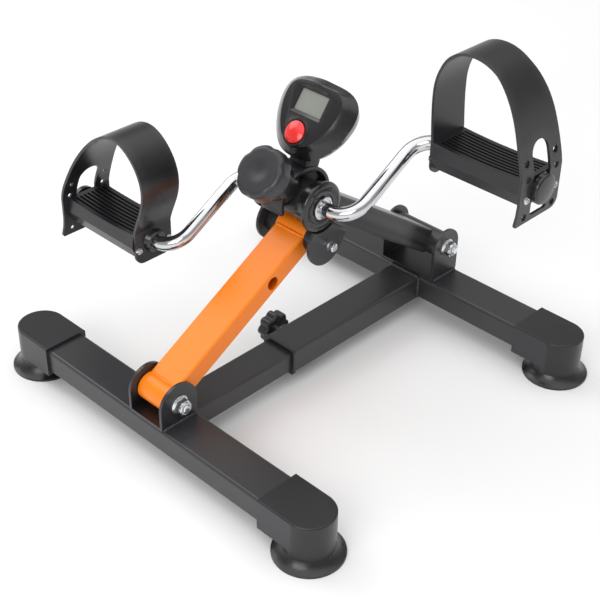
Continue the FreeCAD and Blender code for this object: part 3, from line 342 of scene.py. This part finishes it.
def linked(name, data):
    """A new object in the scene, made of a mesh, a light or a camera."""
    obj = bpy.data.objects.new(name, data)
    bpy.context.scene.collection.objects.link(obj)
    return obj


def new_piece(name, mesh, body, material):
    """A piece that rides a body, dressed in the given material."""
    obj = linked(name, mesh)
    dress(obj, material)
    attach(obj, body)
    return obj


def applied(obj):
    """The object's mesh with its modifiers applied."""
    graph = bpy.context.evaluated_depsgraph_get()
    graph.update()
    return bpy.data.meshes.new_from_object(obj.evaluated_get(graph))


def softened(node, width, segments, angle, merge_flats, weigh):
    """Stands a copy of a CAD node in its place, with edges over an angle rounded by a small bevel."""
    mesh = NODES[node].data.copy()
    if "custom_normal" in mesh.attributes:
        mesh.attributes.remove(mesh.attributes["custom_normal"])
    bm = bmesh.new()
    bm.from_mesh(mesh)
    bmesh.ops.remove_doubles(bm, verts=bm.verts, dist=SAME_POINT)
    if merge_flats:
        bmesh.ops.dissolve_limit(bm, angle_limit=SAME_PLANE, verts=bm.verts, edges=bm.edges)
    bm.to_mesh(mesh)
    bm.free()
    draft = linked("draft", mesh)
    bevel = draft.modifiers.new("bevel", "BEVEL")
    bevel.limit_method = "ANGLE"
    bevel.angle_limit = math.radians(angle)
    bevel.width = width
    bevel.segments = segments
    bevel.use_clamp_overlap = True
    bevel.miter_outer = "MITER_ARC"
    result = applied(draft)
    bpy.data.objects.remove(draft)
    result.name = f"{node}_finish"
    smooth(result, angle)
    piece = new_piece(f"{node}_finish", result, BODY_OF[node], finish_for(node))
    if weigh:
        weighted = piece.modifiers.new("normals", "WEIGHTED_NORMAL")
        weighted.keep_sharp = True
    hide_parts(node)


def smooth(mesh, angle):
    """Smooth shading, with the edges over an angle in degrees kept sharp."""
    mesh.polygons.foreach_set("use_smooth", [True] * len(mesh.polygons))
    mesh.set_sharp_from_angle(angle=math.radians(angle))


def skin(name, points, faces, angle):
    """A smooth mesh whose faces all look outwards."""
    mesh = bpy.data.meshes.new(name)
    mesh.from_pydata([tuple(p) for p in points], [], faces)
    bm = bmesh.new()
    bm.from_mesh(mesh)
    bmesh.ops.recalc_face_normals(bm, faces=bm.faces)
    bm.to_mesh(mesh)
    bm.free()
    smooth(mesh, angle)
    return mesh


def grid_mesh(name, rows, angle):
    """A capped skin over rings of points; every ring has the same number of points."""
    count = len(rows[0])
    points = [point for row in rows for point in row]
    faces = []
    for i in range(len(rows) - 1):
        for j in range(count):
            k = (j + 1) % count
            faces.append((i * count + j, i * count + k, (i + 1) * count + k, (i + 1) * count + j))
    faces.append(tuple(reversed(range(count))))
    last = (len(rows) - 1) * count
    faces.append(tuple(range(last, last + count)))
    return skin(name, points, faces, angle)


def lathe(name, profile, origin, axis, steps=96):
    """Turns (along, radius) points, in metres, about an axis; the profile is a closed loop."""
    axis = Vector(axis).normalized()
    across = axis.orthogonal().normalized()
    other = axis.cross(across)
    points = []
    faces = []
    count = len(profile)
    for i in range(steps):
        a = 2 * math.pi * i / steps
        out = across * math.cos(a) + other * math.sin(a)
        points += [Vector(origin) + axis * t + out * r for t, r in profile]
    for i in range(steps):
        k = (i + 1) % steps
        for j in range(count):
            m = (j + 1) % count
            faces.append((i * count + j, i * count + m, k * count + m, k * count + j))
    return skin(name, points, faces, 40)


def resampled(points, step):
    """Evenly spaced points along a path of straight runs."""
    path = [Vector(p) for p in points]
    lengths = [(b - a).length for a, b in zip(path, path[1:])]
    total = sum(lengths)
    count = max(8, int(total / step))
    result = []
    for i in range(count + 1):
        left = total * i / count
        for a, b, length in zip(path, path[1:], lengths):
            if left <= length + 1e-9:
                result.append(a + (b - a) * (left / length))
                break
            left -= length
    return result


def weld_bead(name, points, radius, body, slot, phase=0.0):
    """A hand-laid weld: overlapping ripples, uneven in width, that taper at both ends."""
    path = resampled(points, BEAD_STEP)
    rows = []
    travelled = 0.0
    for i, point in enumerate(path):
        before = path[max(i - 1, 0)]
        after = path[min(i + 1, len(path) - 1)]
        along = (after - before).normalized()
        across = along.orthogonal().normalized()
        other = along.cross(across)
        travelled += (point - before).length
        wave = abs(math.sin(math.pi * travelled / BEAD_PITCH + 0.5 * math.sin(0.31 * i + phase)))
        uneven = 0.09 * math.sin(travelled * 410 + phase) + 0.06 * math.sin(travelled * 1130 + 2 * phase)
        end = min(i, len(path) - 1 - i) / 4
        size = radius * (0.80 + 0.24 * wave + uneven) * min(1.0, 0.35 + 0.65 * end)
        ring = []
        for j in range(BEAD_SIDES):
            a = 2 * math.pi * j / BEAD_SIDES
            ring.append(point + (across * math.cos(a) + other * math.sin(a)) * size)
        rows.append(ring)
    new_piece(name, grid_mesh(name, rows, 60), body, MATERIALS[slot])


# ---------------------------------------------------------------- frame pieces

# The bevel's width in metres, and the nodes that get it.
BEVELS = {
    0.00025: ["pedal_body_left", "pedal_body_right", "brake_housing"],
    0.00035: [
        "front_pivot_nut", "rear_pivot_nut", "front_pivot_bolt", "rear_pivot_bolt",
        "front_pivot_washer", "rear_pivot_washer", "sleeve_collar", "weld_boss", "beam_plug",
        "arm_tube", "strut_tube", "beam_sleeve", "inner_beam", "front_crossbar", "rear_crossbar",
        "arm_lower_barrel", "arm_upper_barrel", "strut_barrel", "hub_shell",
        "arm_lower_bushings", "arm_upper_bushings", "strut_bushings",
    ],
    0.0005: ["front_bracket", "rear_bracket", "fork_bracket"],
    0.0008: ["front_cap_left", "front_cap_right", "rear_cap_left", "rear_cap_right"],
    0.0006: ["console_front", "console_back"],
}

for width, names in BEVELS.items():
    for node in names:
        segments = 3 if width >= 0.0006 else 2
        angle = 16.0 if node.startswith("console") else 32.0
        merge_flats = not node.startswith(("pedal_body", "brake_housing"))
        weigh = not node.startswith(("brake_housing", "console"))
        softened(node, width, segments, angle, merge_flats, weigh)


def frame_welds():
    """Welds where the beams meet the crossbars, round the brackets' feet and on the lock boss."""
    slot = "black_powder_coat"
    joints = (
        ("beam_sleeve", "rear_crossbar", "rear_base", low),
        ("inner_beam", "front_crossbar", "front_base", high),
    )
    for beam, bar, body, near in joints:
        y = near(bar).y
        half = high(beam).x
        top = min(high(beam).z, BAR_TOP - 0.0006)
        base = low(beam).z + 0.0015
        weld_bead(f"{beam}_weld_top", [(-half, y, top), (half, y, top)], 0.0021, body, slot, 1.0)
        for side, way_x in SIDES.items():
            x = way_x * half
            weld_bead(f"{beam}_weld_{side}", [(x, y, top), (x, y, base)], 0.0022, body, slot, 2.0 + way_x)
    for end in ("front", "rear"):
        bracket = f"{end}_bracket"
        body = f"{end}_base"
        inset = 0.0015
        y0 = low(bracket).y + inset
        y1 = high(bracket).y - inset
        z = BAR_TOP + 0.0004
        for side, way_x in SIDES.items():
            x = way_x * high(bracket).x
            weld_bead(f"{bracket}_weld_{side}", [(x, y0, z), (x, y1, z)], 0.0023, body, slot, 4.0 + way_x)
    boss_x = high("weld_boss").x
    middle = centre("weld_boss")
    radius = high("weld_boss").z - middle.z
    loop = [
        (boss_x, middle.y + radius * math.cos(a), middle.z + radius * math.sin(a))
        for a in (2 * math.pi * i / 48 for i in range(49))
    ]
    weld_bead("weld_boss_weld", loop, 0.0012, "rear_base", slot, 6.0)


def cross_weld(name, pivot, angle, along, height, half, radius, body, slot, phase):
    """A straight weld across a tube, at a place given along and above a line from its pivot."""
    c, s = math.cos(angle), math.sin(angle)
    y = pivot.y + along * c - height * s
    z = pivot.z + along * s + height * c
    weld_bead(name, [(-half, y, z), (half, y, z)], radius, body, slot, phase)


def arm_welds():
    """Welds across both ends of the arm, where its tube meets the barrels."""
    half = high("arm_tube").x - 0.001
    barrel_radius = 0.0130
    arm_top = 0.0107
    arm_low = -0.0083
    length = (PIN - FRONT_PIVOT).length
    for name, start, way in (("lower", 0.0, 1), ("upper", length, -1)):
        for face, height in (("top", arm_top), ("under", arm_low)):
            reach = math.sqrt(barrel_radius**2 - height**2)
            cross_weld(
                f"arm_{name}_weld_{face}", FRONT_PIVOT, ARM_ANGLE, start + way * (reach + 0.0008),
                height - math.copysign(0.0005, height), half, 0.0016, "arm", "amber_paint", 1.0 + way,
            )


frame_welds()
arm_welds()


# ---------------------------------------------------------------- small fittings

def nut_inserts():
    """The nylon ring in the mouth of each lock nut."""
    for end in ("front", "rear"):
        nut = f"{end}_pivot_nut"
        mouth = high(nut).x
        profile = [
            (-0.0012, 0.0041), (0.0001, 0.0041), (0.0003, 0.0044), (0.0003, 0.0050),
            (0.0001, 0.0054), (-0.0012, 0.0054),
        ]
        origin = (mouth, centre(nut).y, centre(nut).z)
        mesh = lathe(f"{nut}_insert", profile, origin, (1, 0, 0))
        new_piece(f"{nut}_insert", mesh, f"{end}_base", NYLON)


def pedal_collars():
    """The plastic collar round the crank where it enters each pedal."""
    slot = "gloss_black_plastic"
    for side, way in SIDES.items():
        axle = AXLES[side]
        face = low(f"pedal_body_{side}").x if way > 0 else high(f"pedal_body_{side}").x
        inner = abs(face) - 0.0025
        profile = [
            (-0.0052, 0.0069), (-0.0052, 0.0090), (-0.0042, 0.0100), (-0.0012, 0.0104),
            (0.0004, 0.0116), (0.0016, 0.0120), (0.0026, 0.0120), (0.0026, 0.0069),
        ]
        origin = (way * inner, axle.y, axle.z)
        name = f"pedal_collar_{side}"
        mesh = lathe(name, profile, origin, (way, 0, 0))
        new_piece(name, mesh, f"pedal_{side}", MATERIALS[slot])


def lobed_knob(node, origin, axis, radius, lobes, depth, narrow, start, end, edge, dish):
    """A moulded hand knob with soft lobes, rounded rims and a dished face; narrow sharpens its flutes."""
    axis = Vector(axis).normalized()
    across = Vector((1, 0, 0)) if abs(axis.x) < 0.9 else Vector((0, 1, 0))
    other = axis.cross(across)
    profile = [(start, 0.12 * radius), (start, radius - edge)]
    turns = 8
    for i in range(1, turns + 1):
        a = math.pi / 2 * i / turns
        profile.append((start + edge * (1 - math.cos(a)), radius - edge + edge * math.sin(a)))
    for i in range(turns + 1):
        a = math.pi / 2 * i / turns
        profile.append((end - edge + edge * math.sin(a), radius - edge + edge * math.cos(a)))
    rings = 12
    flat = radius - edge
    for i in range(1, rings):
        r = flat * (1 - i / rings)
        fall = dish * 0.5 * (1 + math.cos(math.pi * min(1.0, r / (0.62 * flat))))
        profile.append((end - fall, r))
    steps = lobes * 24
    rows = []
    for t, r in profile:
        ring = []
        for j in range(steps):
            a = 2 * math.pi * j / steps
            cut = depth * (0.5 - 0.5 * math.cos(lobes * a)) ** narrow
            share = max(0.0, min(1.0, (r / radius - 0.55) / 0.45))
            size = r - cut * share * share * (3 - 2 * share)
            ring.append(Vector(origin) + axis * t + (across * math.cos(a) + other * math.sin(a)) * size)
        rows.append(ring)
    name = f"{node}_finish"
    mesh = grid_mesh(name, rows, 50)
    piece = new_piece(name, mesh, BODY_OF[node], MATERIALS[SLOT_OF[node]])
    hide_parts(node)


nut_inserts()
pedal_collars()
lobed_knob(
    "tension_knob", HUB, JOINTS["tension_turn"]["axis"],
    radius=0.0240, lobes=6, depth=0.0014, narrow=4.0, start=0.0431, end=0.0606, edge=0.0046, dish=0.0012,
)
lobed_knob(
    "base_lock_knob", JOINTS["base_lock_turn"]["pos_m"], (-1, 0, 0),
    radius=0.0160, lobes=8, depth=0.0026, narrow=1.3, start=-0.0002, end=0.0127, edge=0.0026, dish=0.0012,
)


# ---------------------------------------------------------------- carried-over CAD nodes

for name, node in NODES.items():
    dress(node, finish_for(name))


# ---------------------------------------------------------------- stage, light and camera

def floor():
    mesh = bpy.data.meshes.new("floor")
    half = 8.0
    mesh.from_pydata(
        [(-half, -half, 0), (half, -half, 0), (half, half, 0), (-half, half, 0)], [], [(0, 1, 2, 3)]
    )
    obj = linked("floor", mesh)
    n = Nodes("floor")
    tone = n.span(n.noise(3, 2), 0.3, 0.7, 0.0, 1.0)
    colour = n.mix(tone, (0.90, 0.90, 0.90), (0.92, 0.92, 0.92))
    rough = n.span(n.noise(9, 2), 0.3, 0.7, 0.85, 0.95)
    dress(obj, n.finish(colour, rough, None, Specular_IOR_Level=0.1))


def area_light(name, place, aim, size, power):
    light = bpy.data.lights.new(name, "AREA")
    light.shape = "RECTANGLE"
    light.size, light.size_y = size
    light.energy = power
    obj = linked(name, light)
    obj.location = place
    obj.rotation_euler = (Vector(aim) - Vector(place)).to_track_quat("-Z", "Y").to_euler()


def studio():
    """A white room, dimmer at mid height so that dark faces keep their contrast, with two soft boxes."""
    world = bpy.data.worlds.new("studio")
    bpy.context.scene.world = world
    world.use_nodes = True
    nodes = world.node_tree.nodes
    links = world.node_tree.links
    place = nodes.new("ShaderNodeTexCoord")
    split = nodes.new("ShaderNodeSeparateXYZ")
    links.new(place.outputs["Generated"], split.inputs["Vector"])
    ramp = nodes.new("ShaderNodeValToRGB")
    stops = ((0.0, 0.80), (0.30, 0.42), (0.62, 0.40), (0.80, 1.35), (1.0, 1.6))
    while len(ramp.color_ramp.elements) < len(stops):
        ramp.color_ramp.elements.new(0.5)
    for element, (at, level) in zip(ramp.color_ramp.elements, stops):
        element.position = at
        element.color = (level, level, level, 1)
    links.new(split.outputs["Z"], ramp.inputs["Fac"])
    background = nodes["Background"]
    links.new(ramp.outputs["Color"], background.inputs["Color"])
    background.inputs["Strength"].default_value = 1.0
    aim = (0, 0, 0.12)
    area_light("key", (0.5, -1.9, 1.3), aim, (1.4, 1.0), 16)
    area_light("left", (-1.9, -0.3, 1.6), aim, (1.4, 1.4), 12)
    bpy.context.scene.view_settings.view_transform = "Standard"


def camera():
    azimuth = math.radians(43.942)
    elevation = math.radians(34.426)
    roll = math.radians(0.983)
    distance = 1.1941
    target = Vector((-0.00364, 0.00174, 0.07455))
    right = Vector((math.cos(azimuth), math.sin(azimuth), 0))
    back = Vector((
        math.sin(azimuth) * math.cos(elevation), -math.cos(azimuth) * math.cos(elevation), math.sin(elevation)
    ))
    up = back.cross(right)
    tilted_right = right * math.cos(roll) + up * math.sin(roll)
    tilted_up = up * math.cos(roll) - right * math.sin(roll)
    data = bpy.data.cameras.new("camera")
    data.lens = 77.0
    data.sensor_width = 36.0
    obj = linked("camera", data)
    turn = Matrix((tilted_right, tilted_up, back)).transposed()
    obj.matrix_world = Matrix.Translation(target + back * distance) @ turn.to_4x4()
    bpy.context.scene.camera = obj


floor()
studio()
camera()
